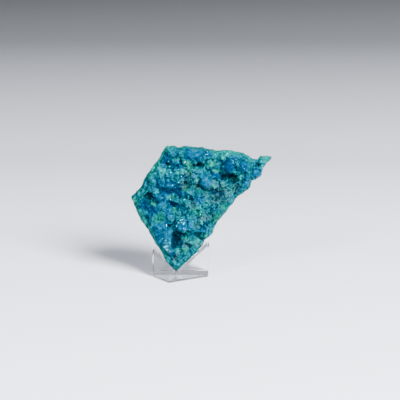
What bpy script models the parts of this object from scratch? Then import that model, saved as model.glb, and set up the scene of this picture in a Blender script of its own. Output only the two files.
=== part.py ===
"""A chrysocolla specimen on its clear stand.

The stone is a thin wedge, point down, with a lumpy and pitted front face. The stand is one
block with a notched lip, a plain rest behind and a thin pointed toe in front. The stone
leans back a little. +Z is up, the stone's good face looks along -Y, and the origin is on the
stand's underside, midway across. Lists are in millimetres, and the meshes are in metres.
"""

import math
import random

import bmesh
import bpy
import numpy as np
from mathutils import Vector, geometry, noise

MM = 0.001

# Stand.
LIP_FRONT = -3.9
STAND_BACK = 5.4
STAND_HEIGHT = 12.0
STAND_HALF_WIDTH_BOTTOM = 7.4
STAND_HALF_WIDTH_TOP = 8.0
REST_THICKNESS = 3.4
LIP_HEIGHT_LEFT = 6.1
LIP_HEIGHT_RIGHT = 8.2
NOTCH_X = -1.15
NOTCH_BOTTOM = 0.7
NOTCH_SLOPE = 0.915
STAND_EDGE_RADIUS = 0.2
TOE_POINT = (-3.1, -10.6)
TOE_THICKNESS = 0.5
TOE_INSET = 0.05
TOE_OVERLAP = 0.4
TOE_EDGE_RADIUS = 0.1
EDGE_SEGMENTS = 2

# The stone's own frame: x across and z up its front plane, from its lower point.
STONE_POINT = (NOTCH_X, -5.3, 1.3)
STONE_LEAN = math.radians(4)
SEED = 7

# Depths behind the front plane.
FRONT_RIM_DEPTH = 1.5
RIM_WANDER = 0.7
RIM_WANDER_SIZE = 3.0
WAIST_DEPTH = 3.0
BACK_RIM_DEPTH = 4.4
BACK_DEPTH = 6.0
WAIST_BULGE = 0.12
BACK_INSET = 0.55
ROUNDING = 2.2

# Mesh spacings.
FRONT_SPACING = 0.52
BACK_SPACING = 1.05
RIM_SPACING = 0.62
RIM_ROUGHNESS = 0.16

# Relief that covers each face.
NODULE_SIZE = 1.9
NODULE_HEIGHT = 0.5
GRAIN_SIZE = 0.8
GRAIN_HEIGHT = 0.18
BACK_ROUGH_SIZE = 3.6
BACK_ROUGH_HEIGHT = 0.32

# Outline of the stone, clockwise from its top left corner: (x, z).
OUTLINE = [
    (-2.6, 34.0), (-4.2, 31.3), (-5.6, 29.4), (-7.0, 27.6), (-8.6, 24.9), (-9.4, 23.0),
    (-10.7, 21.7), (-12.0, 20.3), (-10.7, 16.9), (-9.4, 14.2), (-7.3, 11.0), (-5.9, 8.5),
    (-4.3, 6.1), (-2.7, 3.2), (-1.3, 1.5), (0.0, 0.2), (2.1, 2.2), (4.2, 4.2), (5.9, 5.6),
    (6.7, 7.2), (7.7, 8.8), (9.3, 10.0), (10.1, 11.5), (10.8, 13.4), (12.0, 14.8),
    (14.1, 17.4), (15.7, 19.3), (16.6, 20.6), (18.7, 22.2), (19.9, 23.2), (20.4, 25.0),
    (21.6, 25.3), (22.7, 26.2), (23.1, 28.1), (24.2, 29.4), (25.5, 31.0), (24.6, 31.5),
    (22.6, 31.3), (21.5, 30.5), (20.4, 30.6), (18.9, 31.6), (16.8, 32.4), (13.9, 33.0),
    (10.1, 32.8), (8.5, 33.2), (6.4, 33.7), (2.4, 34.0), (0.5, 33.7), (-1.4, 34.1),
]

# Rounded lumps on the front: (x, z, radius, height).
LUMPS = [
    (14.9, 29.2, 2.3, 1.7), (18.1, 28.6, 1.9, 1.3), (19.7, 29.4, 1.1, 1.0), (18.4, 24.4, 2.2, 1.4),
    (21.8, 27.0, 1.8, 1.2), (23.3, 30.0, 1.5, 0.9), (8.1, 25.2, 2.1, 1.8), (5.3, 26.7, 2.2, 1.7),
    (8.6, 31.6, 1.7, 1.0), (4.9, 31.9, 1.7, 1.0), (1.9, 32.2, 1.6, 0.9), (-1.5, 32.7, 1.4, 0.9),
    (13.2, 31.7, 1.6, 0.9), (-2.4, 26.2, 2.0, 1.3), (-2.5, 23.6, 1.7, 1.0), (2.4, 13.6, 2.8, 2.0),
    (8.5, 11.4, 2.2, 1.6), (6.7, 13.9, 1.1, 1.0), (5.6, 20.2, 1.7, 1.3), (-0.8, 15.8, 1.7, 1.3),
    (-7.0, 15.6, 2.3, 1.0), (-4.9, 12.0, 2.5, 1.0), (-3.0, 8.4, 2.0, 1.0), (4.8, 6.7, 1.7, 1.2),
    (0.2, 3.4, 1.9, 1.2), (11.2, 15.8, 2.0, 0.9), (3.2, 8.9, 1.1, 0.9), (-8.9, 19.5, 1.5, 0.9),
    (-4.6, 29.6, 1.4, 0.9), (12.8, 24.4, 1.2, 1.0), (3.6, 29.0, 1.2, 0.8), (9.6, 28.8, 1.3, 0.9),
    (1.0, 25.1, 1.5, 0.8), (2.6, 19.3, 1.5, 0.8), (13.9, 19.6, 1.5, 0.9), (-4.3, 17.6, 2.0, 1.2),
]

# Pits in the front: (x, z, radius across, radius up, turn in degrees, depth).
PITS = [
    (-1.6, 28.8, 0.8, 0.8, 0, 1.6), (5.3, 29.1, 1.5, 0.8, 0, 1.9), (-1.0, 21.4, 3.2, 1.6, -12, 1.3),
    (10.9, 21.7, 2.1, 1.2, 35, 1.8), (14.1, 26.0, 2.3, 1.2, -8, 2.2), (6.7, 24.3, 0.7, 1.5, 25, 1.3),
    (-6.4, 19.8, 1.8, 1.2, -20, 1.8), (-0.8, 18.2, 1.7, 1.0, -25, 1.7), (0.2, 8.8, 1.1, 2.3, -8, 1.8),
    (1.6, 10.1, 1.3, 0.8, -40, 1.6), (4.6, 9.6, 3.0, 0.7, 0, 1.6), (2.9, 2.9, 1.1, 1.1, 0, 1.6),
    (21.2, 29.2, 0.7, 1.5, -30, 1.3), (17.8, 26.5, 1.5, 0.6, 0, 1.0), (-2.4, 12.3, 0.9, 1.4, 0, 0.8),
]

STONE_COLOUR = (0.02, 0.32, 0.38, 1.0)
ACRYLIC_COLOUR = (0.90, 0.94, 0.97, 1.0)


def clear_scene():
    for item in list(bpy.data.objects):
        bpy.data.objects.remove(item, do_unlink=True)


def make_material(name, colour, roughness, transmission=0.0):
    material = bpy.data.materials.new(name)
    material.use_nodes = True
    shader = material.node_tree.nodes["Principled BSDF"]
    shader.inputs["Base Color"].default_value = colour
    shader.inputs["Roughness"].default_value = roughness
    shader.inputs["Metallic"].default_value = 0.0
    shader.inputs["Transmission Weight"].default_value = transmission
    shader.inputs["IOR"].default_value = 1.5
    return material


def add_object(name, bm, material):
    bmesh.ops.recalc_face_normals(bm, faces=bm.faces)
    mesh = bpy.data.meshes.new(name)
    bm.to_mesh(mesh)
    bm.free()
    mesh.materials.append(material)
    item = bpy.data.objects.new(name, mesh)
    bpy.context.scene.collection.objects.link(item)
    return item


# ---- stand ----

def stand_half_width(z):
    flare = (STAND_HALF_WIDTH_TOP - STAND_HALF_WIDTH_BOTTOM) / STAND_HEIGHT
    return STAND_HALF_WIDTH_BOTTOM + flare * z


def round_edges(item, radius):
    bevel = item.modifiers.new("edges", "BEVEL")
    bevel.width = radius * MM
    bevel.segments = EDGE_SEGMENTS
    bevel.limit_method = "ANGLE"
    bevel.angle_limit = math.radians(30)


def build_toe(material):
    """A thin plate with a square corner, which sticks out in front of the lip."""
    side = stand_half_width(0) - TOE_INSET
    inner = LIP_FRONT + TOE_OVERLAP
    outline = [TOE_POINT, (side, LIP_FRONT), (side, inner), (-side, inner), (-side, LIP_FRONT)]
    bm = bmesh.new()
    underside = bm.faces.new([bm.verts.new(Vector((x, y, 0)) * MM) for x, y in outline])
    raised = bmesh.ops.extrude_face_region(bm, geom=[underside], use_keep_orig=True)["geom"]
    top = [part for part in raised if isinstance(part, bmesh.types.BMVert)]
    bmesh.ops.translate(bm, verts=top, vec=Vector((0, 0, TOE_THICKNESS)) * MM)
    item = add_object("toe", bm, material)
    round_edges(item, TOE_EDGE_RADIUS)
    return item


def join(item, other):
    """Unites two overlapping solids in the first one, and removes the second."""
    union = item.modifiers.new("union", "BOOLEAN")
    union.operation = "UNION"
    union.object = other
    united = item.evaluated_get(bpy.context.evaluated_depsgraph_get())
    item.data = bpy.data.meshes.new_from_object(united)
    item.modifiers.clear()
    bpy.data.objects.remove(other, do_unlink=True)


def build_block(material):
    """A lip with a notch cut through it, front to back, and a rest behind."""
    front = LIP_FRONT
    back = STAND_BACK
    rest = back - REST_THICKNESS
    foot = stand_half_width(0)
    left = stand_half_width(LIP_HEIGHT_LEFT)
    right = stand_half_width(LIP_HEIGHT_RIGHT)
    notch_left = NOTCH_X - (LIP_HEIGHT_LEFT - NOTCH_BOTTOM) / NOTCH_SLOPE
    notch_right = NOTCH_X + (LIP_HEIGHT_RIGHT - NOTCH_BOTTOM) / NOTCH_SLOPE
    crown = stand_half_width(STAND_HEIGHT)
    lip = [
        (-foot, 0), (foot, 0), (right, LIP_HEIGHT_RIGHT), (notch_right, LIP_HEIGHT_RIGHT),
        (NOTCH_X, NOTCH_BOTTOM), (notch_left, LIP_HEIGHT_LEFT), (-left, LIP_HEIGHT_LEFT),
    ]
    bm = bmesh.new()

    def corner(x, y, z):
        return bm.verts.new(Vector((x, y, z)) * MM)

    near = [corner(x, front, z) for x, z in lip]
    far = {index: corner(lip[index][0], rest, lip[index][1]) for index in range(2, 7)}
    crown_right = corner(crown, rest, STAND_HEIGHT)
    crown_left = corner(-crown, rest, STAND_HEIGHT)
    back_left, back_right = corner(-foot, back, 0), corner(foot, back, 0)
    back_top_right = corner(crown, back, STAND_HEIGHT)
    back_top_left = corner(-crown, back, STAND_HEIGHT)

    bm.faces.new(near)
    for index in range(2, 6):
        bm.faces.new((near[index], far[index], far[index + 1], near[index + 1]))
    bm.faces.new([far[index] for index in range(2, 7)] + [crown_left, crown_right])
    bm.faces.new((near[1], back_right, back_top_right, crown_right, far[2], near[2]))
    bm.faces.new((near[0], near[6], far[6], crown_left, back_top_left, back_left))
    bm.faces.new((crown_left, crown_right, back_top_right, back_top_left))
    bm.faces.new((back_left, back_top_left, back_top_right, back_right))
    bm.faces.new((near[0], back_left, back_right, near[1]))

    item = add_object("stand", bm, material)
    round_edges(item, STAND_EDGE_RADIUS)
    return item


def build_stand():
    acrylic = make_material("acrylic", ACRYLIC_COLOUR, 0.05, 0.95)
    stand = build_block(acrylic)
    join(stand, build_toe(acrylic))
    return stand


# ---- stone ----

def rough_rim():
    """The outline at an even spacing, with a little roughness across it."""
    corners = np.array(OUTLINE)
    ends = np.roll(corners, -1, axis=0)
    points = []
    for start, end in zip(corners, ends):
        count = max(1, round(float(np.linalg.norm(end - start)) / RIM_SPACING))
        points += [start + (end - start) * step / count for step in range(count)]
    rim = np.array(points)
    outward = rim_normals(rim)
    wobble = [noise.noise(Vector((x, SEED, z)) * 0.9) for x, z in rim]
    return rim + outward * np.array(wobble)[:, None] * RIM_ROUGHNESS


def rim_normals(rim):
    """Outward directions, averaged along the rim so that insets don't cross."""
    along = np.roll(rim, -2, axis=0) - np.roll(rim, 2, axis=0)
    outward = np.column_stack((-along[:, 1], along[:, 0]))
    outward /= np.linalg.norm(outward, axis=1)[:, None]
    centre = rim.mean(axis=0)
    if np.sum((rim - centre) * outward) < 0:
        outward = -outward
    return outward


def distance_to_rim(points, rim):
    starts = rim
    runs = np.roll(rim, -1, axis=0) - rim
    lengths = np.sum(runs * runs, axis=1)
    nearest = []
    for point in points:
        share = np.clip(np.sum((point - starts) * runs, axis=1) / lengths, 0, 1)
        gaps = starts + runs * share[:, None] - point
        nearest.append(math.sqrt(float(np.min(np.sum(gaps * gaps, axis=1)))))
    return np.array(nearest)


def is_inside(point, rim):
    x, z = point
    ahead = np.roll(rim, -1, axis=0)
    spans = (rim[:, 1] > z) != (ahead[:, 1] > z)
    lower, upper = rim[spans], ahead[spans]
    share = (z - lower[:, 1]) / (upper[:, 1] - lower[:, 1])
    crossings = lower[:, 0] + share * (upper[:, 0] - lower[:, 0])
    return int(np.sum(crossings > x)) % 2 == 1


def face_points(rim, spacing):
    """Points inside the rim on a jittered triangular grid."""
    rng = random.Random(SEED)
    low, high = rim.min(axis=0), rim.max(axis=0)
    row_step = spacing * math.sqrt(3) / 2
    points = []
    for row in range(int((high[1] - low[1]) / row_step) + 1):
        shift = spacing / 2 * (row % 2)
        for column in range(int((high[0] - low[0]) / spacing) + 1):
            x = low[0] + shift + column * spacing + rng.uniform(-0.2, 0.2) * spacing
            z = low[1] + row * row_step + rng.uniform(-0.2, 0.2) * spacing
            if is_inside((x, z), rim):
                points.append((x, z))
    points = np.array(points)
    return points[distance_to_rim(points, rim) > spacing * 0.55]


def triangulate(rim, inner):
    """Triangles over the rim and the inner points, as indices into both lists joined."""
    points = [Vector(point) for point in np.vstack((rim, inner))]
    edges = [(index, (index + 1) % len(rim)) for index in range(len(rim))]
    found = geometry.delaunay_2d_cdt(points, edges, [], 1, 1e-6)
    places, triangles, sources = found[0], found[2], found[3]
    if len(places) != len(points):
        raise ValueError("the triangulation added or dropped a point")
    return [[sources[corner][0] for corner in triangle] for triangle in triangles]


def rim_depths(points, depth):
    """Depth of a rim line at each point: it wanders in and out along the stone's edge."""
    seed = SEED + depth
    wander = [noise.noise(Vector((x, seed, z)) / RIM_WANDER_SIZE) for x, z in points]
    return depth + RIM_WANDER * np.array(wander)


def rounded(distance):
    """0 on the rim, rising along a quarter circle to 1 at the rounding distance."""
    near = np.clip(distance / ROUNDING, 0, 1)
    return np.sqrt(1 - (1 - near) ** 2)


def nodules(points, size, seed):
    """Close-packed domes, each from 0 at its edge to 1 at its middle."""
    heights = []
    for x, z in points:
        nearest = noise.voronoi(Vector((x / size, seed, z / size)))[0][0]
        heights.append(max(0.0, 1 - (nearest / 0.75) ** 2))
    return np.array(heights)


def front_height(points, distance):
    """Height of the front face over its plane: lumps, nodules, grain and pits."""
    lumps = np.zeros(len(points))
    for x, z, radius, height in LUMPS:
        reach = np.sum((points - (x, z)) ** 2, axis=1) / radius ** 2
        lumps = np.maximum(lumps, height * np.sqrt(np.clip(1 - reach, 0, 1)))
    pits = np.zeros(len(points))
    for x, z, across, up, turn, depth in PITS:
        angle = math.radians(turn)
        offset = points - (x, z)
        along = offset[:, 0] * math.cos(angle) + offset[:, 1] * math.sin(angle)
        over = offset[:, 1] * math.cos(angle) - offset[:, 0] * math.sin(angle)
        reach = (along / across) ** 2 + (over / up) ** 2
        pits = np.maximum(pits, depth * np.clip(1 - reach / 1.6, 0, 1) ** 0.8)
    cover = nodules(points, NODULE_SIZE, SEED) * NODULE_HEIGHT
    grain = nodules(points, GRAIN_SIZE, SEED + 1) * GRAIN_HEIGHT
    edge = rounded(distance)
    return (lumps + cover + grain - pits) * edge - rim_depths(points, FRONT_RIM_DEPTH) * (1 - edge)


def back_height(points, distance):
    """Height of the back face, which is broken rock."""
    rough = [noise.fractal(Vector((x, SEED, z)) / BACK_ROUGH_SIZE, 0.9, 2.1, 3) for x, z in points]
    edge = rounded(distance)
    depth = rim_depths(points, BACK_RIM_DEPTH) * (1 - edge) + BACK_DEPTH * edge
    return np.array(rough) * BACK_ROUGH_HEIGHT * edge - depth


def build_stone():
    rim = rough_rim()
    outward = rim_normals(rim)
    waist_rim = rim + outward * WAIST_BULGE
    back_rim = rim - outward * BACK_INSET
    front_inner = face_points(rim, FRONT_SPACING)
    back_inner = face_points(back_rim, BACK_SPACING)
    bm = bmesh.new()

    def ring(points, heights):
        return [bm.verts.new(Vector((x, -height, z)) * MM) for (x, z), height in zip(points, heights)]

    count = len(rim)
    front = ring(rim, -rim_depths(rim, FRONT_RIM_DEPTH))
    waist = ring(waist_rim, -rim_depths(waist_rim, WAIST_DEPTH))
    back = ring(back_rim, -rim_depths(back_rim, BACK_RIM_DEPTH))
    for near, far in ((front, waist), (waist, back)):
        for index in range(count):
            after = (index + 1) % count
            bm.faces.new((near[index], near[after], far[after], far[index]))

    front += ring(front_inner, front_height(front_inner, distance_to_rim(front_inner, rim)))
    back += ring(back_inner, back_height(back_inner, distance_to_rim(back_inner, back_rim)))
    for vertices, edge, inner in ((front, rim, front_inner), (back, back_rim, back_inner)):
        for triangle in triangulate(edge, inner):
            bm.faces.new([vertices[corner] for corner in triangle])

    bmesh.ops.triangulate(bm, faces=bm.faces)
    item = add_object("specimen", bm, make_material("chrysocolla", STONE_COLOUR, 0.45))
    item.location = Vector(STONE_POINT) * MM
    item.rotation_euler = (-STONE_LEAN, 0, 0)
    return item


clear_scene()
build_stand()
build_stone()
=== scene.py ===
import math
import random

import bmesh
import bpy
import numpy as np
from mathutils import Matrix, Vector, noise


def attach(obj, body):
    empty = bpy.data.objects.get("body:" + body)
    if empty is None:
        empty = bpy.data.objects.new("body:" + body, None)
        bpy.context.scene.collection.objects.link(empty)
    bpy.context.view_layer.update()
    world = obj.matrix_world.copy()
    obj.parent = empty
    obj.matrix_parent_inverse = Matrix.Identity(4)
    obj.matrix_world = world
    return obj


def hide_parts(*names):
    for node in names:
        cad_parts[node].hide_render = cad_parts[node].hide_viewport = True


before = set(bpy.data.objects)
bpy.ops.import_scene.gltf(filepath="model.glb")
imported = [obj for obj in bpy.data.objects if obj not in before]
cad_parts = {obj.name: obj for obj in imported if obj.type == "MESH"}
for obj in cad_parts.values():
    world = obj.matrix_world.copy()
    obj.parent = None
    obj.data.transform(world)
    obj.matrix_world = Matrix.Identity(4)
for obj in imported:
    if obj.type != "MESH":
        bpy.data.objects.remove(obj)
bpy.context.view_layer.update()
mm = 0.001
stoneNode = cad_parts["specimen"]
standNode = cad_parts["stand"]
print("frame loaded")


def linkMesh(name, bm):
    mesh = bpy.data.meshes.new(name)
    bm.to_mesh(mesh)
    bm.free()
    item = bpy.data.objects.new(name, mesh)
    bpy.context.scene.collection.objects.link(item)
    return item


def newMaterial(name):
    material = bpy.data.materials.new(name)
    material.use_nodes = True
    return material, material.node_tree.nodes, material.node_tree.links


def smoothStep(low, high, value):
    share = np.clip((value - low) / (high - low), 0, 1)
    return share * share * (3 - 2 * share)


# The stone has its own frame: x runs across it and z up its face, both from its lowest point,
# and height stands out from the face. Lengths in every dictionary are millimetres.
stone = {
    "point": (-1.15, -5.3, 1.3),    # the lowest point of the face
    "lean": math.radians(4),
    "mergeWithin": 0.002,
    "faceTurn": 0.1,       # faces that look forward by more than this carry the crust
    "frontCuts": 4,        # how finely the crusted face is divided
    "backCuts": 2,
    "softening": 3,        # passes that take the facets off
    "frontTurn": (0.0, 0.5),       # how far forward a place looks to begin to be crust, and to be all crust
    "backTurn": (0.3, 0.7),        # and how far back, to be broken rock
    "spotCorner": (-14.4, 37.0),     # spots on the face are counted right and down from here
    "spotStep": (0.296, 0.299),      # one step right and one step down
    "hollowEdge": 0.35,    # how softly a hollow ends, and a swelling
    "swellEdge": 0.6,
    "nodule": (1.8, 0.95, 1),      # size, height and seed of the round lumps
    "bead": (0.75, 0.30, 2),       # the beads on them
    "tip": (0.95, 0.60, 5),        # the crystal points
    "wall": (1.10, 0.24, 7),       # the thin crinkled walls
    "wallWide": 0.40,
    "domeRadius": (0.5, 0.35),     # the least radius of a lump, and how much more the largest has
    "tipSlope": (1.5, 0.8, 0.9),   # how fast a point falls off sideways and inwards, and how far it leans
    "planeTilt": (2, 0.3),         # how steep the broken planes are, and how far they lie apart
    "lace": 0.6,           # how much of them shows outside their own spots
    "lumpLevel": 0.75,     # the share of a lump that lies below the solid's face
    "smooth": 0.75,        # how much of its lumps a glassy spot loses, of its beads and so on
    "smoothBead": 0.95,
    "smoothWall": 0.9,
    "smoothWaver": 0.7,
    "dent": 0.35,          # how much deeper the hollows go
    "fill": 0.85,          # the share of each broad pit that the crust fills
    "pitPasses": 160,
    "pitDepth": (0.2, 2),  # pits are filled from the first depth, and by no more than the second
    "warp": 0.5,           # reach of the waver that makes every spot ragged
    "faceWaver": 0.10,
    "sideRough": 0.20,
    "sideBead": 0.08,
    "backFacet": (3.4, 0.55),     # size and steepness of the broken planes behind
    "backChip": (1.3, 0.30),
    "backSeed": 9,
    "backWarp": 0.5,
    "backRough": 0.14,
    "backSunk": 0.35,      # the planes lie this far in, so they clear the rest
    "backLimit": 0.2,      # and no part of them stands out further than this
}

# size in millimetres, seed and octaves of every uneven pattern on the stone
wavers = {
    "warpAcross": (1.1, 3, 3), "warpUp": (1.1, 4, 3), "face": (0.9, 21, 3), "side": (1.4, 22, 3),
    "back": (0.8, 23, 4), "backWarp": (1.5, 24, 3), "broad": (1.6, 31, 3), "fine": (0.45, 32, 3),
    "pools": (2.2, 33, 3), "moss": (1.9, 34, 3), "frost": (0.5, 35, 3), "rimTeal": (1.2, 36, 3),
    "rimPale": (0.7, 37, 3), "rock": (1.1, 38, 3), "stain": (7.0, 39, 5), "vein": (4.5, 41, 4),
    "thread": (0.7, 42, 3), "veinBreak": (1.3, 43, 3),
}
stoneTurn = Matrix.Rotation(-stone["lean"], 3, "X")
stonePoint = Vector(stone["point"])
stoneOut = np.array(stoneTurn @ Vector((0, -1, 0)))

# each spot: how far right, how far down, half its width, half its height, its turn in degrees
glassSpots = [     # smooth and glassy, with hardly any beads
    (35, 85, 8, 14, 20), (44, 49, 11, 7, 0), (76, 39, 5, 6, 0), (87, 51, 6, 3, -30),
    (60, 17, 5, 8, 0), (17, 61, 6, 9, 0), (86, 72, 5, 8, -40), (46, 63, 6, 5, 0), (33, 56, 5, 6, 0),
    (96, 26, 4, 7, 0), (72, 16, 6, 4, 0), (26, 66, 6, 6, 0), (123, 33, 4, 4, 0),
]
wallSpots = [      # crinkled walls
    (87, 50, 11, 11, 0), (64, 62, 5, 5, 0), (76, 72, 8, 5, 15), (67, 43, 6, 5, 0), (101, 46, 5, 6, 0),
    (57, 97, 5, 5, 0), (53, 108, 8, 5, 0), (57, 43, 6, 5, 0), (34, 37, 8, 4, 0), (70, 97, 6, 4, 0),
]
pointSpots = [     # small crystal points
    (54, 81, 9, 9, 0), (45, 95, 9, 7, 0), (104, 27, 5, 6, 0), (38, 24, 8, 5, 0), (60, 60, 8, 6, 0),
    (48, 45, 14, 4, 0), (78, 82, 7, 6, 0), (27, 42, 6, 6, 0), (90, 20, 6, 4, 0), (112, 42, 7, 6, 0),
    (24, 74, 5, 8, 0), (50, 106, 8, 6, 0), (68, 54, 6, 5, 0),
]
hollowSpots = [
    (65, 27, 5, 1.6, 5), (24, 54, 5, 4, 20), (30, 59, 4, 2, -20), (97, 38, 7, 4, -15), (101, 39, 4, 1.6, 0),
    (110, 32.5, 3, 1.4, 20), (70, 40, 1.4, 3, 0), (44, 63, 4, 2.4, 0), (48, 94, 4, 5, 0),
    (52, 88, 6, 1.4, -30), (69, 88, 7, 1.4, 5), (41, 25, 4, 1.6, -20), (56, 114, 2, 2.4, 30),
    (123, 26, 5, 0.8, 8), (84, 48, 5, 1.4, -30), (42, 80, 3, 2, 0), (75, 91, 4, 1.2, 0),
    (50, 68, 1.2, 3, 20), (98, 45, 3, 1.2, 10), (21, 60, 2, 1.6, 0), (80, 36, 2.4, 1.2, -30),
    (62, 55, 1, 2.4, 0), (62, 69, 3, 1, 50), (58, 86, 2, 2, 0),
]
swellSpots = [     # height first: lumps that stand out and hollows that lie deeper
    (1.1, 30, 59, 7, 6, 0), (0.45, 59, 36, 8, 8, 0), (0.45, 69, 41, 7, 7, 0), (0.55, 95, 26, 8, 8, 0),
    (0.40, 107, 28, 6, 6, 0), (0.45, 108, 44, 8, 8, 0), (0.40, 121, 35, 6, 6, 0),
    (0.50, 48, 85, 10, 9, 0), (0.50, 71, 93, 8, 8, 0), (0.35, 60, 59, 6, 6, 0),
    (0.35, 37, 92, 7, 9, 20), (0.35, 44, 78, 9, 8, 20), (-0.5, 35, 54, 11, 7, 0),
    (-0.6, 80, 54, 6, 4, -30), (0.35, 80, 45, 12, 3, -20), (0.35, 83, 63, 11, 3, -25),
    (0.30, 30, 36, 7, 6, 0), (0.30, 30, 46, 7, 5, 0), (-0.5, 98, 38, 8, 4, -15),
]


def toStone(places):
    local = (places / mm - np.array(stonePoint)) @ np.array(stoneTurn)
    return local[:, 0], local[:, 2], -local[:, 1]


def readMesh(mesh):
    places = np.empty(len(mesh.vertices) * 3)
    mesh.vertices.foreach_get("co", places)
    normals = np.empty(len(mesh.vertices) * 3)
    mesh.vertices.foreach_get("normal", normals)
    edges = np.empty(len(mesh.edges) * 2, dtype=int)
    mesh.edges.foreach_get("vertices", edges)
    return places.reshape(-1, 3), normals.reshape(-1, 3), edges.reshape(-1, 2)


def waver(points, name):
    # fractal noise about zero, with an increment of 0.8 and each octave 2.1 times as fine
    size, seed, octaves = wavers[name]
    shift = Vector((seed, seed * 1.7, seed * 0.6))
    return np.array([noise.fractal(Vector(point) / size + shift, 0.8, 2.1, octaves) for point in points])


def averaged(values, edges, passes):
    # evens a value out along the mesh, which leaves its broad trend
    ends = np.concatenate((edges[:, 0], edges[:, 1]))
    others = np.concatenate((edges[:, 1], edges[:, 0]))
    counts = np.maximum(np.bincount(ends, minlength=len(values)), 1)
    for _ in range(passes):
        values = (values + np.bincount(ends, weights=values[others], minlength=len(values)) / counts) / 2
    return values


# these turn a seed's place into its chance numbers, from 0 to 1
chanceMix = np.array([12.99, 78.23, 37.72])
chanceSpread = 43758.5
turnSpread = 97.3


class Cells:
    # the four scattered seeds nearest to each point, each with its own chance numbers
    def __init__(self, points, size, seed):
        shift = Vector((seed, seed * 2, seed * 3))
        found = np.empty((len(points), 4, 3))
        for index, point in enumerate(points):
            found[index] = noise.voronoi(Vector(point) / size + shift)[1]
        self.size = size
        self.offset = (points / size + np.array(shift))[:, None, :] - found
        self.reach = np.linalg.norm(self.offset, axis=2)
        mixed = np.sin(found @ chanceMix) * chanceSpread
        self.chance = mixed - np.floor(mixed)
        self.turn = (self.chance * turnSpread) % 1

    def domes(self):
        # overlapping balls: 1 at the top of the largest, 0 in the gaps
        least, more = stone["domeRadius"]
        radius = least + more * self.chance
        each = np.sqrt(np.clip(radius ** 2 - self.reach ** 2, 0, None)) / (least + more)
        return each.max(axis=1), self.pick(each)

    def tips(self):
        # overlapping six-sided points, each leaning its own way
        out = self.offset @ stoneOut
        across = self.offset[:, :, 0]
        up = self.offset @ np.array(stoneTurn @ Vector((0, 0, 1)))
        angles = self.turn * math.pi / 3
        flat = np.zeros(across.shape)
        for third in range(3):
            angle = angles + third * math.pi / 3
            flat = np.maximum(flat, np.abs(across * np.cos(angle) + up * np.sin(angle)))
        lean = (self.chance - 0.5) * across + (self.turn - 0.5) * up
        sideways, inwards, leaning = stone["tipSlope"]
        each = np.clip(1 - flat * sideways - np.abs(out) * inwards + lean * leaning, 0, 1)
        return each.max(axis=1), self.pick(each)

    def walls(self):
        # 1 on the borders between the cells
        ordered = np.sort(self.reach, axis=1)
        return 1 - smoothStep(0.0, stone["wallWide"], ordered[:, 1] - ordered[:, 0])

    def planes(self):
        # each cell is a flat piece with its own tilt
        tilt = np.column_stack((self.chance[:, 0] - 0.5, self.turn[:, 0] - 0.5))
        nearest = self.offset[:, 0]
        steepness, apart = stone["planeTilt"]
        level = (self.turn[:, 0] - 0.5) * apart
        return (nearest[:, 0] * tilt[:, 0] + nearest[:, 2] * tilt[:, 1]) * steepness + level

    def pick(self, each):
        return self.chance[np.arange(len(each)), each.argmax(axis=1)]


def spotShare(x, z, spots, soft=0.5):
    # 1 inside a spot, 0 outside, with an edge that is soft by this share of its size
    share = np.zeros(len(x))
    for right, down, wide, high, turn in spots:
        angle = math.radians(turn)
        sideways = x - stone["spotCorner"][0] - right * stone["spotStep"][0]
        upward = z - stone["spotCorner"][1] + down * stone["spotStep"][1]
        along = sideways * math.cos(angle) + upward * math.sin(angle)
        over = upward * math.cos(angle) - sideways * math.sin(angle)
        halfWide, halfHigh = wide * stone["spotStep"][0], high * stone["spotStep"][1]
        reach = np.sqrt((along / halfWide) ** 2 + (over / halfHigh) ** 2)
        share = np.maximum(share, 1 - smoothStep(1 - soft, 1 + soft, reach))
    return share


def makeStone():
    bm = bmesh.new()
    bm.from_mesh(stoneNode.data)
    bmesh.ops.remove_doubles(bm, verts=bm.verts, dist=stone["mergeWithin"] * mm)
    facing = Vector(stoneOut)
    front, rest = [], []
    for edge in bm.edges:
        crusted = any(face.normal.dot(facing) > stone["faceTurn"] for face in edge.link_faces)
        (front if crusted else rest).append(edge)
    bmesh.ops.subdivide_edges(bm, edges=front, cuts=stone["frontCuts"], use_grid_fill=True)
    rest = [edge for edge in rest if edge.is_valid]
    bmesh.ops.subdivide_edges(bm, edges=rest, cuts=stone["backCuts"], use_grid_fill=True)
    bmesh.ops.triangulate(bm, faces=bm.faces)
    for _ in range(stone["softening"]):
        bmesh.ops.smooth_vert(bm, verts=bm.verts, factor=0.5,
                              use_axis_x=True, use_axis_y=True, use_axis_z=True)
    bmesh.ops.recalc_face_normals(bm, faces=bm.faces)
    return linkMesh("stoneCrust", bm)


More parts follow.
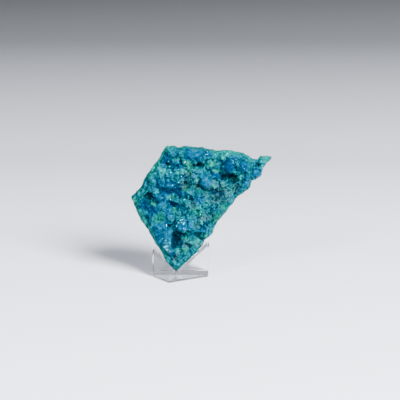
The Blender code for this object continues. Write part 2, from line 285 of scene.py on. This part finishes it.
def shapeStone(item):
    mesh = item.data
    places, normals, edges = readMesh(mesh)
    x, z, height = toStone(places)
    points = places / mm
    front = smoothStep(*stone["frontTurn"], normals @ stoneOut)
    back = smoothStep(*stone["backTurn"], -(normals @ stoneOut))
    x = x + waver(points, "warpAcross") * stone["warp"]
    z = z + waver(points, "warpUp") * stone["warp"]
    glass = spotShare(x, z, glassSpots)
    walls = spotShare(x, z, wallSpots)
    tips = spotShare(x, z, pointSpots) * (1 - glass)
    shadedHollow = spotShare(x, z, hollowSpots, stone["hollowEdge"])

    size, noduleHeight, seed = stone["nodule"]
    nodules, noduleChance = Cells(points, size, seed).domes()
    size, beadHeight, seed = stone["bead"]
    beads, beadChance = Cells(points, size, seed).domes()
    size, tipHeight, seed = stone["tip"]
    pointed, tipChance = Cells(points, size, seed).tips()
    size, wallHeight, seed = stone["wall"]
    wall = Cells(points, size, seed).walls()
    lace = (walls + stone["lace"] * (1 - walls)) * (1 - stone["smoothWall"] * glass) * (1 - tips)

    level = stone["lumpLevel"]
    relief = noduleHeight * (nodules - level) * (1 - stone["smooth"] * glass)
    relief += beadHeight * (beads - level) * (1 - stone["smoothBead"] * glass) * (1 - tips)
    relief += tipHeight * (pointed - level) * tips
    relief += wallHeight * (wall - 0.5) * lace
    relief += waver(points, "face") * stone["faceWaver"] * (1 - stone["smoothWaver"] * glass)
    shallow, most = stone["pitDepth"]
    relief += stone["fill"] * np.clip(averaged(height, edges, stone["pitPasses"]) - height - shallow, 0, most)
    relief -= stone["dent"] * shadedHollow
    for lift, *spot in swellSpots:
        relief += lift * spotShare(x, z, [spot], stone["swellEdge"])

    behind = waver(points, "back") * stone["backRough"] - stone["backSunk"]
    bent = points + (waver(points, "backWarp") * stone["backWarp"])[:, None]
    for name in ("backFacet", "backChip"):
        size, steepness = stone[name]
        behind += Cells(bent, size, stone["backSeed"]).planes() * steepness
    behind = np.minimum(behind, stone["backLimit"])
    side = waver(points, "side") * stone["sideRough"] + (beads - 0.5) * stone["sideBead"]
    push = relief * front + (1 - front) * (behind * back + side * (1 - back))
    places = places + normals * (push * mm)[:, None]
    mesh.vertices.foreach_set("co", places.ravel())
    mesh.update()
    mesh.shade_smooth()
    return {"x": x, "z": z, "height": height + push, "edges": edges, "points": points,
            "front": front, "back": back, "glass": glass, "walls": walls, "wall": wall * lace,
            "tips": tips, "shadedHollow": shadedHollow, "beads": beads, "noduleChance": noduleChance,
            "beadChance": beadChance, "tipChance": tipChance}


crust = {
    "teal": (0.000, 0.036, 0.054),
    "deepBlue": (0.000, 0.015, 0.050),
    "azure": (0.000, 0.036, 0.078),
    "turquoise": (0.000, 0.110, 0.104),
    "green": (0.000, 0.058, 0.036),
    "paleGreen": (0.003, 0.120, 0.070),
    "tan": (0.034, 0.068, 0.052),
    # painted shade: the near-black laid into hollows, narrow gaps and deep places
    "shadedHollow": (0.000, 0.008, 0.016),
    # painted highlight: the lighter cyan laid on raised crests and on the walls' threads
    "crestHighlight": (0.000, 0.086, 0.100),
    "rim": (0.000, 0.095, 0.078),
    "rock": (0.090, 0.075, 0.055),
    "darkRock": (0.030, 0.034, 0.030),
    "spotEdge": 0.4,             # how softly a spot of colour ends
    "ragged": (0.85, 0.3),       # a spot's strength, and how far the fine pattern changes it
    "lumpShade": (0.5, 1.05),    # how light the darkest lump is, and how much lighter the lightest
    "beadTop": (0.55, 0.9),      # the part of a bead that counts as a ridge
    "beadRidge": 0.5,            # and how much of one it counts as
    "tanShow": (-0.1, 0.3),
    "tanRidge": (0.3, 0.7),      # how tan the hollows of a tan spot are, and how much more its ridges
    "trendPasses": (10, 50),     # how widely the near and the far surroundings are averaged
    "crestRise": (0.02, 0.10),   # how far a crest stands above the near surroundings
    "crestShow": (-0.1, 0.35),
    "crestShare": (0.75, 0.6),   # how much of the painted highlight colour a crest takes, and how much less on glass
    "threadShow": (-0.2, 0.15),
    "threadShare": (0.8, 0.8),   # the same painted highlight for the walls' threads, and how much less in deep places
    "calmBlue": 0.6,             # how much plainer the blue spots stay
    "gapDrop": (0.02, 0.09),     # painted shade: how far narrow gaps and deep places lie below their surroundings before they are painted darker
    "deepDrop": (0.08, 0.35),
    "gapShade": 0.7,
    "deepShade": 0.5,
    "accentSpared": 0.6,         # how much of a bright spot the painted shade of the gaps leaves alone
    # painted light: how far a place stands above its broad surroundings, and how much lighter it is painted
    "topRise": (0.05, 0.3),
    "paintedTopLight": 0.2,
    "glassDark": 0.15,
    # painted shade in the hollow spots: where the fine pattern lets it show, and how dark it is
    "hollowShadeShow": (-0.35, 0.1),
    "hollowShadeShare": 0.8,
    "veinWide": 0.07,
    "veinShow": (-0.2, 0.2),
    "veinShare": 0.5,
    # painted shade in the gaps behind: how far they lie below their surroundings, and how dark they are
    # painted
    "backGap": (0.01, 0.1),
    "backGapShade": 0.2,
    "speckleSize": (2300, 4),    # scale and detail of the grain in the colour and the gloss
    "speckle": (0.32, 0.68, 0.45, 1.6),       # from this grain to this one, how dark to how light
    "roughness": (0.35, 0.65, 0.15, 0.36),
    "glassRoughness": 0.5,       # what the roughness is multiplied by on glassy spots
    "bumpSize": (5200, 3),
    "bumpStrength": 0.6,
    "bumpDepth": 0.05,
    "ior": 1.5,
    "specular": 0.01,
}

# colour, the pattern that it follows, where on the pattern it starts and is full, and its strength
faceLayers = [
    ("azure", "broad", 0.0, 0.35, 0.7), ("deepBlue", "pools", 0.05, 0.4, 0.5),
    ("turquoise", "noduleChance", 0.7, 1.0, 0.3), ("green", "moss", 0.1, 0.4, 0.5),
]
sideLayers = [
    ("teal", "rimTeal", -0.1, 0.2, 0.6), ("turquoise", "rimPale", 0.15, 0.35, 0.6),
]
backLayers = [
    ("darkRock", "rock", -0.1, 0.3, 0.8), ("green", "stain", -0.02, 0.10, 0.75),
    ("teal", "stain", 0.12, 0.2, 1.0), ("turquoise", "stain", 0.26, 0.34, 0.7),
]

colourSpots = [
    ("deepBlue", [
        (45, 50, 12, 8, 0), (46, 62, 6, 4, 0), (22, 62, 4, 5, 0), (29, 69, 5, 5, 0), (40, 23, 4, 3, 0),
        (37, 19, 8, 3, 5), (85, 34, 5, 4, 0), (96, 27, 4, 8, 0), (87, 51, 8, 4, -30), (49, 93, 5, 6, 0),
        (40, 80, 4, 3, 0), (62, 82, 3, 2, 0), (76, 16, 4, 3, 0), (60, 15, 4, 6, 0), (109, 27, 4, 5, 0),
    ]),
    ("azure", [
        (76, 39, 5, 6, 0), (33, 56, 6, 6, 0), (42, 68, 5, 5, 0), (37, 89, 8, 12, 20), (66, 17, 7, 7, 0),
        (122, 33, 5, 5, 0), (102, 21, 5, 4, 0), (74, 84, 7, 5, 0), (57, 80, 7, 6, 0), (45, 103, 6, 5, 0),
        (41, 43, 10, 4, 0), (68, 56, 6, 5, 0), (40, 98, 5, 5, 0), (112, 40, 5, 5, 0), (50, 27, 5, 4, 0),
    ]),
    ("turquoise", [
        (41, 11, 4, 3, 0), (88, 18, 5, 3, 10), (97, 15, 7, 2, -5), (129, 21, 6, 3, 10),
        (45.5, 55, 4.5, 2, 0), (70.5, 76.5, 2.6, 2.6, 0), (58, 92, 5, 1.6, 0), (93, 41, 2.5, 2, 20),
        (82, 44, 3.5, 1.6, -10), (68, 49, 2, 1.4, 0), (70, 64, 4, 1.6, 0), (66, 95, 4, 2, 30),
        (53, 32, 4, 2, 0), (105, 38, 3, 1.6, 0), (36, 30, 5, 1.4, -30), (56, 22, 1.2, 6, 8),
        (31, 50, 3, 1.2, 20), (92, 63, 6, 3, -20), (50, 103, 3, 1.6, 0),
    ]),
    ("green", [
        (85, 73, 3, 8, -40), (33, 73, 5, 4, 0), (60, 28, 3, 6, 0), (49, 67, 1.6, 4, 20), (74, 88, 4, 2, 0),
        (28, 31, 2, 9, -30), (57, 47, 3, 3, 0), (95, 66, 6, 3, -30), (70, 68, 4, 4, 0),
    ]),
    ("paleGreen", [
        (60, 27, 3, 5, 0), (82, 25, 4, 3, 20), (86, 31, 3, 1.6, 0), (29, 61, 2, 2.4, 0),
        (56, 103, 2.4, 2, 0), (47, 66, 1, 2, 0), (63, 66, 2, 1.2, 0), (79, 20, 2, 1.4, 0),
    ]),
    ("rim", [
        (12, 58, 3, 5, 0), (17, 72, 2, 10, 25), (25, 85, 2, 10, 30), (34, 103, 2, 12, 32),
        (28, 28, 2, 10, -30),
    ]),
]
tanSpots = [
    (87, 51, 12, 11, 0), (64, 62, 4, 4, 0), (76, 73, 8, 4, 15), (67, 43, 4, 4, 0), (102, 46, 4, 5, 0),
    (57, 97, 4, 4, 0), (47, 109, 4, 3, 0), (58, 23, 2, 1.4, 0), (57, 43, 4, 5, 0), (61, 35, 6, 4, 0),
    (68, 96, 4, 3, 0), (15, 67, 1, 4, 20), (68, 80, 3, 3, 0),
]


def over(under, colour, share):
    # lays a colour over what is there
    return under + (np.array(crust[colour]) - under) * share[:, None]


def allOver(colour, count):
    return np.tile(np.array(crust[colour]), (count, 1))


def layered(colour, layers, patterns):
    for name, pattern, low, high, strength in layers:
        colour = over(colour, name, smoothStep(low, high, patterns[pattern]) * strength)
    return colour


def tintFace(field, patterns, near, far):
    # the crusted face, with painted highlights on what stands out and painted shade in gaps, deep places and
    # hollows; near and far are its height with the small and the large lumps averaged out
    x, z, height, glass, fine = field["x"], field["z"], field["height"], field["glass"], patterns["fine"]
    colour = layered(allOver("teal", len(x)), faceLayers, patterns)
    accent, blueness = np.zeros(len(x)), np.zeros(len(x))
    strength, change = crust["ragged"]
    for name, spots in colourSpots:
        share = spotShare(x, z, spots, crust["spotEdge"]) * (strength + change * fine).clip(0, 1)
        colour = over(colour, name, share)
        if name in ("turquoise", "paleGreen", "rim"):
            accent = np.maximum(accent, share)
            blueness = blueness * (1 - share)
        elif name in ("deepBlue", "azure"):
            blueness = np.maximum(blueness, share)
    chance = np.where(field["tips"] > 0.5, field["tipChance"], field["beadChance"])
    darkest, lighter = crust["lumpShade"]
    colour = colour * (darkest + lighter * chance)[:, None]
    ridge = np.maximum(field["wall"], smoothStep(*crust["beadTop"], field["beads"]) * crust["beadRidge"])
    tan = spotShare(x, z, tanSpots, crust["spotEdge"]) * smoothStep(*crust["tanShow"], fine)
    least, more = crust["tanRidge"]
    colour = over(colour, "tan", tan * (least + more * ridge))

    calm = 1 - crust["calmBlue"] * blueness
    # painted highlight: crests that stand above their near surroundings take a lighter colour
    shown = smoothStep(*crust["crestShow"], patterns["frost"])
    crestHighlight = smoothStep(*crust["crestRise"], height - near) * shown
    gap = smoothStep(*crust["gapDrop"], near - height)
    deep = smoothStep(*crust["deepDrop"], far - height)
    share, less = crust["crestShare"]
    colour = over(colour, "crestHighlight", crestHighlight * (share - less * glass) * calm)
    # the threads along the wall ridges take the same painted highlight
    threads = smoothStep(*crust["threadShow"], patterns["thread"])
    share, less = crust["threadShare"]
    colour = over(colour, "crestHighlight", field["wall"] * threads * share * (1 - tan) * (1 - less * deep) * calm)
    # painted light: what stands above its broad surroundings is painted lighter
    colour = colour * (1 + crust["paintedTopLight"] * smoothStep(*crust["topRise"], height - far))[:, None]
    colour = colour * (1 - crust["glassDark"] * glass)[:, None]
    # painted shade: narrow gaps and deep places below their surroundings are darkened
    recessShade = np.maximum(gap * crust["gapShade"], deep * crust["deepShade"])
    colour = over(colour, "shadedHollow", recessShade * (1 - crust["accentSpared"] * accent))
    # painted shade: the hollow spots are darkened as well
    shown = smoothStep(*crust["hollowShadeShow"], fine)
    return over(colour, "shadedHollow", field["shadedHollow"] * crust["hollowShadeShare"] * shown)


def tintBack(field, patterns, near):
    behind = layered(allOver("rock", len(near)), backLayers, patterns)
    veins = 1 - smoothStep(0.0, crust["veinWide"], np.abs(patterns["vein"]))
    shown = smoothStep(*crust["veinShow"], patterns["veinBreak"])
    behind = over(behind, "turquoise", veins * crust["veinShare"] * shown)
    # painted shade: gaps on the back that lie below their near surroundings are darkened
    gap = smoothStep(*crust["backGap"], near - field["height"])
    return over(behind, "shadedHollow", gap * crust["backGapShade"])


def tintStone(item, field):
    mesh = item.data
    count = len(mesh.vertices)
    names = ("broad", "fine", "pools", "moss", "frost", "rimTeal", "rimPale", "rock", "stain", "vein",
             "thread", "veinBreak")
    patterns = {name: waver(field["points"], name) for name in names}
    patterns["noduleChance"] = field["noduleChance"]
    near, far = [averaged(field["height"], field["edges"], passes) for passes in crust["trendPasses"]]
    side = layered(allOver("rim", count), sideLayers, patterns)
    shell = side + (tintBack(field, patterns, near) - side) * field["back"][:, None]
    colour = shell + (tintFace(field, patterns, near, far) - shell) * field["front"][:, None]
    paint = mesh.attributes.new("crustColour", "FLOAT_COLOR", "POINT")
    rows = np.column_stack((colour.clip(0, 1), np.ones(count)))
    paint.data.foreach_set("color", rows.ravel().astype(np.float32))
    gloss = mesh.attributes.new("gloss", "FLOAT", "POINT")
    gloss.data.foreach_set("value", (field["glass"] * field["front"]).astype(np.float32))


def crustMaterial():
    material, nodes, links = newMaterial("chrysocollaCrust")
    shader = nodes["Principled BSDF"]
    place = nodes.new("ShaderNodeTexCoord").outputs["Object"]
    paint = nodes.new("ShaderNodeAttribute")
    paint.attribute_name = "crustColour"
    glass = nodes.new("ShaderNodeAttribute")
    glass.attribute_name = "gloss"

    def grain(scale, detail):
        node = nodes.new("ShaderNodeTexNoise")
        node.inputs["Scale"].default_value = scale
        node.inputs["Detail"].default_value = detail
        links.new(place, node.inputs["Vector"])
        return node.outputs["Fac"]

    def limits(value, low, high, least, most):
        node = nodes.new("ShaderNodeMapRange")
        node.inputs["From Min"].default_value = low
        node.inputs["From Max"].default_value = high
        node.inputs["To Min"].default_value = least
        node.inputs["To Max"].default_value = most
        links.new(value, node.inputs["Value"])
        return node.outputs["Result"]

    fine = grain(*crust["speckleSize"])
    speckle = nodes.new("ShaderNodeMix")     # the smallest grains are lighter and darker
    speckle.data_type = "RGBA"
    speckle.blend_type = "MULTIPLY"
    speckle.inputs["Factor"].default_value = 1
    links.new(paint.outputs["Color"], speckle.inputs["A"])
    links.new(limits(fine, *crust["speckle"]), speckle.inputs["B"])
    links.new(speckle.outputs["Result"], shader.inputs["Base Color"])
    rough = nodes.new("ShaderNodeMath")
    rough.operation = "MULTIPLY"
    links.new(limits(fine, *crust["roughness"]), rough.inputs[0])
    links.new(limits(glass.outputs["Fac"], 0, 1, 1, crust["glassRoughness"]), rough.inputs[1])
    links.new(rough.outputs[0], shader.inputs["Roughness"])
    bump = nodes.new("ShaderNodeBump")
    bump.inputs["Strength"].default_value = crust["bumpStrength"]
    bump.inputs["Distance"].default_value = crust["bumpDepth"] * mm
    links.new(grain(*crust["bumpSize"]), bump.inputs["Height"])
    links.new(bump.outputs["Normal"], shader.inputs["Normal"])
    shader.inputs["IOR"].default_value = crust["ior"]
    shader.inputs["Specular IOR Level"].default_value = crust["specular"]
    return material


stoneCrust = makeStone()
field = shapeStone(stoneCrust)
tintStone(stoneCrust, field)
stoneCrust.data.materials.append(crustMaterial())
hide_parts("specimen")
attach(stoneCrust, "root")
print("stone shaped:", len(stoneCrust.data.polygons), "faces")


crystals = {
    "seed": 5,
    "sides": 6,
    "sunk": 0.35,          # the share of each crystal that is inside the crust
    "frontLimit": 7.08,    # nothing stands further forward than this
    "grain": {"count": 4800, "radius": (0.05, 0.13), "length": (0.12, 0.34), "lean": 0.6, "tip": 0.25},
    "quartz": {"count": 520, "radius": (0.08, 0.17), "length": (0.22, 0.50), "lean": 0.5, "tip": 0.25},
    "glint": {"count": 280, "radius": (0.07, 0.15), "length": (0.18, 0.38), "lean": 0.12, "tip": 0.8},
    "outward": 0.3,        # how far a crystal turns from the crust's direction to the whole face's
    "glintFacing": (0.27, -0.87, 0.41),     # glints stand the same way, so they shine together
    "batch": 2400,         # corners that are grown before they join the rest
    "grainSpread": (0.25, 1.0, 0.7),    # how thick grains grow anywhere, on points and on walls
    "quartzSpread": (0.01, 0.1, 3.0),   # and quartz anywhere, on points and in the glinting spots
    "glintSpread": 0.02,
    "bareGlass": 0.85,     # how bare of grains the glassy spots and the hollows stay
    "bareHollow": 0.8,
    "shade": (0.7, 1.4),   # a grain against its crust: the darkest, and how much lighter the lightest
    "deepBelow": 0.2,      # by its chance number, a grain takes one of these colours instead
    "brightFrom": 0.9,
    "paintedGlintFrom": 0.97,
    "tanFrom": 0.35,
    "deep": (0.00, 0.04, 0.09),
    "bright": (0.00, 0.17, 0.21),
    # painted glint: the palest grains take this near-white cyan, which stands in for glints
    "paintedGlint": (0.02, 0.28, 0.33),
    "tan": (0.028, 0.070, 0.054),
    "smearSize": 2400,
    "grainRoughness": (0.12, 0.4),
    "grainIor": 1.5,
    "grainSpecular": 0.1,
    "quartzRoughness": (0.02, 0.12),
    "quartzIor": 1.54,
    "quartzTint": (0.72, 0.97, 1.0, 1),
    "paintedReflectionTint": (0.15, 0.90, 1.0, 1),    # painted reflection: a blue-green tint on the quartz's reflections, standing in for the crust round it
}

glintSpots = [     # where the largest clear crystals catch the light
    (46, 88, 2.4, 1.6, 0), (41, 97, 4, 4, 0), (38, 103, 5, 3, 0), (37, 93, 2, 2, 0), (76, 16, 2.4, 1.4, 0),
    (87, 15, 1.6, 1.2, 0), (127, 18, 1.6, 1.2, 0), (70, 41, 2.4, 3, 0), (43, 24, 2, 1.2, 0),
    (85, 54, 3, 1, -30), (45, 62, 2, 1, 0), (58, 23, 3, 1.4, 0), (56, 58, 2, 1.6, 0), (51, 44, 2, 4, -30),
    (52, 78, 4, 4, 0), (103, 22, 2, 2, 0), (45, 55, 3, 1.6, 0), (37, 56, 2, 3, 0), (101, 24, 2, 2, 0),
    (24, 40, 2, 2, 0), (66, 112, 1.4, 1.4, 0), (86, 83, 1.4, 1.4, 0), (124, 38, 1.4, 1.4, 0),
    (45, 30, 1.4, 1.4, 0),
]


def joinBatch(whole, batch):
    # moves a full batch into the whole, because one mesh that keeps growing is slow to add to
    part = bpy.data.meshes.new("batch")
    batch.to_mesh(part)
    batch.free()
    whole.from_mesh(part)
    bpy.data.meshes.remove(part)
    return bmesh.new()


def between(limits, share):
    return limits[0] + (limits[1] - limits[0]) * share


def growCrystals(name, kind, weights, mesh, seed):
    # six-sided crystals on corners of the crust, more of them where the weights are higher
    chance = random.Random(seed)
    settings = crystals[kind]
    places, normals, _ = readMesh(mesh)
    reach = np.cumsum(weights)
    picks = np.searchsorted(reach, [chance.random() * reach[-1] for _ in range(settings["count"])])
    whole = bmesh.new()
    batch = bmesh.new()
    owners = []
    for index in picks:
        size = chance.random() ** 2
        radius = between(settings["radius"], size)
        length = between(settings["length"], size)
        lean = Vector([chance.uniform(-1, 1) for _ in range(3)]) * settings["lean"]
        if kind == "glint":
            axis = (Vector(crystals["glintFacing"]) + lean).normalized()
        else:
            outward = crystals["outward"]
            axis = (Vector(normals[index]) * (1 - outward) + Vector(stoneOut) * outward + lean).normalized()
        middle = Vector(places[index]) + axis * length * (0.5 - crystals["sunk"]) * mm
        if -(middle.y + axis.y * length * mm / 2) > crystals["frontLimit"] * mm:
            continue
        spin = Matrix.Rotation(chance.random() * math.pi, 3, "Z").to_quaternion()
        turn = axis.to_track_quat("Z", "Y") @ spin
        spot = Matrix.Translation(middle) @ turn.to_matrix().to_4x4()
        bmesh.ops.create_cone(batch, cap_ends=True, segments=crystals["sides"], radius1=radius * mm,
                              radius2=radius * settings["tip"] * mm, depth=length * mm, matrix=spot)
        owners.append(index)
        if len(batch.verts) > crystals["batch"]:
            batch = joinBatch(whole, batch)
    joinBatch(whole, batch).free()
    return linkMesh(name, whole), np.array(owners), chance


def crystalMaterial(name, clear):
    material, nodes, links = newMaterial(name)
    shader = nodes["Principled BSDF"]
    smears = nodes.new("ShaderNodeTexNoise")
    smears.inputs["Scale"].default_value = crystals["smearSize"]
    links.new(nodes.new("ShaderNodeTexCoord").outputs["Object"], smears.inputs["Vector"])
    gloss = nodes.new("ShaderNodeMapRange")
    smoothest, roughest = crystals["quartzRoughness" if clear else "grainRoughness"]
    gloss.inputs["To Min"].default_value = smoothest
    gloss.inputs["To Max"].default_value = roughest
    links.new(smears.outputs["Fac"], gloss.inputs["Value"])
    links.new(gloss.outputs["Result"], shader.inputs["Roughness"])
    if clear:
        shader.inputs["Base Color"].default_value = crystals["quartzTint"]
        shader.inputs["Transmission Weight"].default_value = 1.0
        shader.inputs["IOR"].default_value = crystals["quartzIor"]
        # painted reflection: the quartz's reflections are tinted blue-green
        shader.inputs["Specular Tint"].default_value = crystals["paintedReflectionTint"]
    else:
        paint = nodes.new("ShaderNodeAttribute")
        paint.attribute_name = "crystalColour"
        links.new(paint.outputs["Color"], shader.inputs["Base Color"])
        shader.inputs["IOR"].default_value = crystals["grainIor"]
        shader.inputs["Specular IOR Level"].default_value = crystals["grainSpecular"]
    return material


def growGrains(mesh):
    anywhere, onPoints, onWalls = crystals["grainSpread"]
    spread = field["front"] * (1 - crystals["bareGlass"] * field["glass"])
    spread = spread * (anywhere + onPoints * field["tips"] + onWalls * field["walls"])
    spread = spread * (1 - crystals["bareHollow"] * field["shadedHollow"])
    grains, owners, chance = growCrystals("crustGrains", "grain", spread, mesh, crystals["seed"])
    under = np.empty(len(mesh.vertices) * 4)
    mesh.attributes["crustColour"].data.foreach_get("color", under)
    under = under.reshape(-1, 4)[:, :3]
    tan = spotShare(field["x"][owners], field["z"][owners], tanSpots)
    picked = np.array([chance.random() for _ in owners])
    darkest, lighter = crystals["shade"]
    colour = under[owners] * (darkest + lighter * picked)[:, None]
    colour[picked < crystals["deepBelow"]] = crystals["deep"]
    colour[picked > crystals["brightFrom"]] = crystals["bright"]
    # painted glints: the palest few grains
    colour[picked > crystals["paintedGlintFrom"]] = crystals["paintedGlint"]
    share = tan * (picked > crystals["tanFrom"])
    colour = colour + (np.array(crystals["tan"]) - colour) * share[:, None]
    corners = len(grains.data.vertices) // len(owners)
    paint = grains.data.attributes.new("crystalColour", "FLOAT_COLOR", "POINT")
    rows = np.column_stack((np.repeat(colour, corners, axis=0), np.ones(len(owners) * corners)))
    paint.data.foreach_set("color", rows.ravel().astype(np.float32))
    grains.data.materials.append(crystalMaterial("chrysocollaGrain", False))
    return grains


def crustCrystals():
    mesh = stoneCrust.data
    grains = growGrains(mesh)
    glinting = spotShare(field["x"], field["z"], glintSpots)
    anywhere, onPoints, inSpots = crystals["quartzSpread"]
    spread = field["front"] * (anywhere + field["tips"] * onPoints + inSpots * glinting)
    quartz, _, _ = growCrystals("quartzDruse", "quartz", spread, mesh, crystals["seed"] + 1)
    spread = field["front"] * (crystals["glintSpread"] + glinting)
    glints, _, _ = growCrystals("quartzGlints", "glint", spread, mesh, crystals["seed"] + 2)
    clear = crystalMaterial("clearQuartz", True)
    for item in (quartz, glints):
        item.data.materials.append(clear)
    for item in (grains, quartz, glints):
        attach(item, "root")
        print("crystals grown:", item.name, len(item.data.polygons), "faces")


crustCrystals()


acrylic = {
    "tint": (0.985, 0.992, 1.0, 1),
    "roughness": 0.03,
    "smearSize": 240,
    "smears": 0.5,     # how far they change the roughness, up and down
    "ior": 1.33,       # acrylic's own 1.49 shows dark blocks on the notch's inner faces
}


def acrylicMaterial():
    material, nodes, links = newMaterial("clearAcrylic")
    shader = nodes["Principled BSDF"]
    shader.inputs["Base Color"].default_value = acrylic["tint"]
    shader.inputs["Transmission Weight"].default_value = 1.0
    shader.inputs["IOR"].default_value = acrylic["ior"]
    smears = nodes.new("ShaderNodeTexNoise")
    smears.inputs["Scale"].default_value = acrylic["smearSize"]
    links.new(nodes.new("ShaderNodeTexCoord").outputs["Object"], smears.inputs["Vector"])
    gloss = nodes.new("ShaderNodeMapRange")
    gloss.inputs["To Min"].default_value = acrylic["roughness"] * (1 - acrylic["smears"])
    gloss.inputs["To Max"].default_value = acrylic["roughness"] * (1 + acrylic["smears"])
    links.new(smears.outputs["Fac"], gloss.inputs["Value"])
    links.new(gloss.outputs["Result"], shader.inputs["Roughness"])
    return material


standNode.data.materials.clear()
standNode.data.materials.append(acrylicMaterial())
print("stand finished")


studio = {
    "floorColour": (0.84, 0.89, 1.0),
    "floorRoughness": 0.6,
    "fadeFront": -110,     # painted shade: the paper is painted darker towards the back, standing in for light that falls off with distance; this runs between these two depths: places on it, and how pale each is
    "fadeBack": 420,
    "paintedFalloff": [(0.0, 0.96), (0.24, 0.82), (0.45, 0.64), (0.58, 0.46), (0.683, 0.22), (0.74, 0.08),
             (0.79, 0.036), (0.86, 0.12), (1.0, 0.14)],
    "floorTop": -0.03,        # the stand's underside is a hair above the paper
    "floorHalfWidth": 2600,
    "floorFront": -2600,
    "sweepStart": 160,
    "sweepRadius": 260,
    "wallTop": 700,
    "sweepSteps": 24,
    "worldColour": (0.80, 0.90, 1.0, 1),
    "worldStrength": 0.08,
    "lightAim": (0, 0, 15),
}

view = {
    "aim": (5.24, 4.13, 19.42),
    "elevation": math.radians(12),
    "distance": 450,
    "frameWidth": 108.56,     # what the view spans at the aim point
    "sensor": 36,
    "near": 20,
    "far": 10000,
}

lights = {
    "key": {"place": (505, -660, 570), "wide": 380, "high": 460, "power": 66.0},
    "front": {"place": (-470, -680, 540), "wide": 220, "high": 220, "power": 8.0},
}


def makeFloor():
    bm = bmesh.new()
    ends = []
    for x in (-studio["floorHalfWidth"], studio["floorHalfWidth"]):
        ends.append(bm.verts.new(Vector((x, studio["floorFront"], studio["floorTop"])) * mm))
    edge = bm.edges.new(ends)
    run = bmesh.ops.extrude_edge_only(bm, edges=[edge])["geom"]
    ends = [vert for vert in run if isinstance(vert, bmesh.types.BMVert)]
    reach = studio["sweepStart"] - studio["floorFront"]
    bmesh.ops.translate(bm, verts=ends, vec=Vector((0, reach, 0)) * mm)
    edges = [part for part in run if isinstance(part, bmesh.types.BMEdge)]
    centre = Vector((0, studio["sweepStart"], studio["floorTop"] + studio["sweepRadius"])) * mm
    turned = bmesh.ops.spin(bm, geom=ends + edges, cent=centre, axis=(1, 0, 0), angle=math.pi / 2,
                            steps=studio["sweepSteps"])["geom_last"]
    edges = [part for part in turned if isinstance(part, bmesh.types.BMEdge)]
    top = bmesh.ops.extrude_edge_only(bm, edges=edges)["geom"]
    ends = [vert for vert in top if isinstance(vert, bmesh.types.BMVert)]
    bmesh.ops.translate(bm, verts=ends, vec=Vector((0, 0, studio["wallTop"])) * mm)
    bmesh.ops.recalc_face_normals(bm, faces=bm.faces)
    floor = linkMesh("studioFloor", bm)
    floor.data.shade_smooth()
    material, nodes, links = newMaterial("studioPaper")
    shader = nodes["Principled BSDF"]
    shader.inputs["Roughness"].default_value = studio["floorRoughness"]
    split = nodes.new("ShaderNodeSeparateXYZ")
    links.new(nodes.new("ShaderNodeTexCoord").outputs["Object"], split.inputs[0])
    # painted shade: the paper's colour darkens towards the back
    depth = nodes.new("ShaderNodeMapRange")
    depth.inputs["From Min"].default_value = studio["fadeFront"] * mm
    depth.inputs["From Max"].default_value = studio["fadeBack"] * mm
    links.new(split.outputs["Y"], depth.inputs["Value"])
    paintedFalloff = nodes.new("ShaderNodeValToRGB")
    stops = paintedFalloff.color_ramp.elements
    while len(stops) < len(studio["paintedFalloff"]):
        stops.new(0.5)
    for stop, (place, strength) in zip(stops, studio["paintedFalloff"]):
        stop.position = place
        stop.color = [strength * part for part in studio["floorColour"]] + [1]
    links.new(depth.outputs["Result"], paintedFalloff.inputs["Fac"])
    links.new(paintedFalloff.outputs["Color"], shader.inputs["Base Color"])
    floor.data.materials.append(material)


def aimedAt(item, place, target):
    item.location = place
    item.rotation_mode = "QUATERNION"
    item.rotation_quaternion = (Vector(target) - Vector(place)).to_track_quat("-Z", "Y")


def makeLights():
    aim = Vector(studio["lightAim"]) * mm
    for name, light in lights.items():
        lamp = bpy.data.lights.new(name, "AREA")
        lamp.shape = "RECTANGLE"
        lamp.size = light["wide"] * mm
        lamp.size_y = light["high"] * mm
        lamp.energy = light["power"]
        item = bpy.data.objects.new(name, lamp)
        bpy.context.scene.collection.objects.link(item)
        aimedAt(item, Vector(light["place"]) * mm, aim)
    world = bpy.data.worlds.new("room")
    world.use_nodes = True
    air = world.node_tree.nodes["Background"]
    air.inputs["Color"].default_value = studio["worldColour"]
    air.inputs["Strength"].default_value = studio["worldStrength"]
    bpy.context.scene.world = world


def makeCamera():
    lens = bpy.data.cameras.new("camera")
    item = bpy.data.objects.new("camera", lens)
    bpy.context.scene.collection.objects.link(item)
    back = Vector((0, -math.cos(view["elevation"]), math.sin(view["elevation"])))
    aim = Vector(view["aim"]) * mm
    aimedAt(item, aim + back * view["distance"] * mm, aim)
    lens.sensor_width = view["sensor"]
    lens.lens = lens.sensor_width * view["distance"] / view["frameWidth"]
    lens.clip_start = view["near"] * mm
    lens.clip_end = view["far"] * mm
    bpy.context.scene.camera = item


makeFloor()
makeLights()
makeCamera()
print("studio ready")
